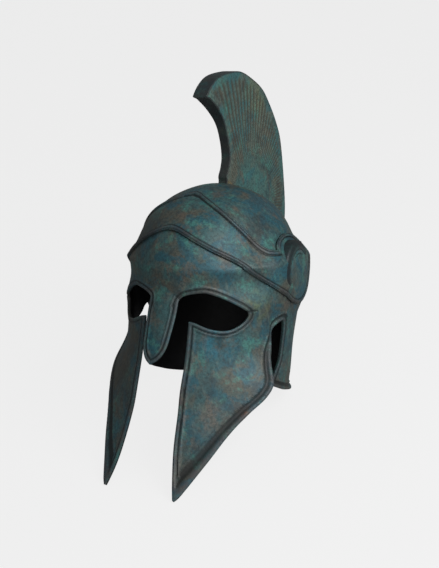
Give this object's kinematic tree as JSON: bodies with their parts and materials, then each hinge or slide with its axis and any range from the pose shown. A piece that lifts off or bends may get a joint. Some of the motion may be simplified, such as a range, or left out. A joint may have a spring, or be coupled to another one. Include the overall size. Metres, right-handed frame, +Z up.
{
  "type": "corinthian helmet",
  "caption": "Bronze Corinthian helmet with a nose guard, long cheek guards, a brow band, an ear disc on each side and a tall hollow crest.",
  "frame": {"origin": "on the surface that the helmet rests on, under the middle of its bounding box", "axes": "+Z up, the wearer looking along -Y, +X towards the wearer's left"},
  "size_m": [0.2706, 0.4454, 0.4229],
  "materials": {
    "bowl_bronze": "aged bronze with blue-green patina, brown edges and a few rust-brown stains, satin",
    "band_bronze": "aged bronze, grey-brown on the ridges, satin",
    "disc_bronze": "aged bronze with blue-green patina, satin",
    "crest_bronze": "aged bronze with grey-green patina and brown engraved rays, satin"
  },
  "bodies": {
    "root": {"helmet_bowl": "bowl_bronze", "brow_band": "band_bronze", "ear_disc_left": "disc_bronze", "ear_disc_right": "disc_bronze", "crest": "crest_bronze"}
  },
  "joints": []
}
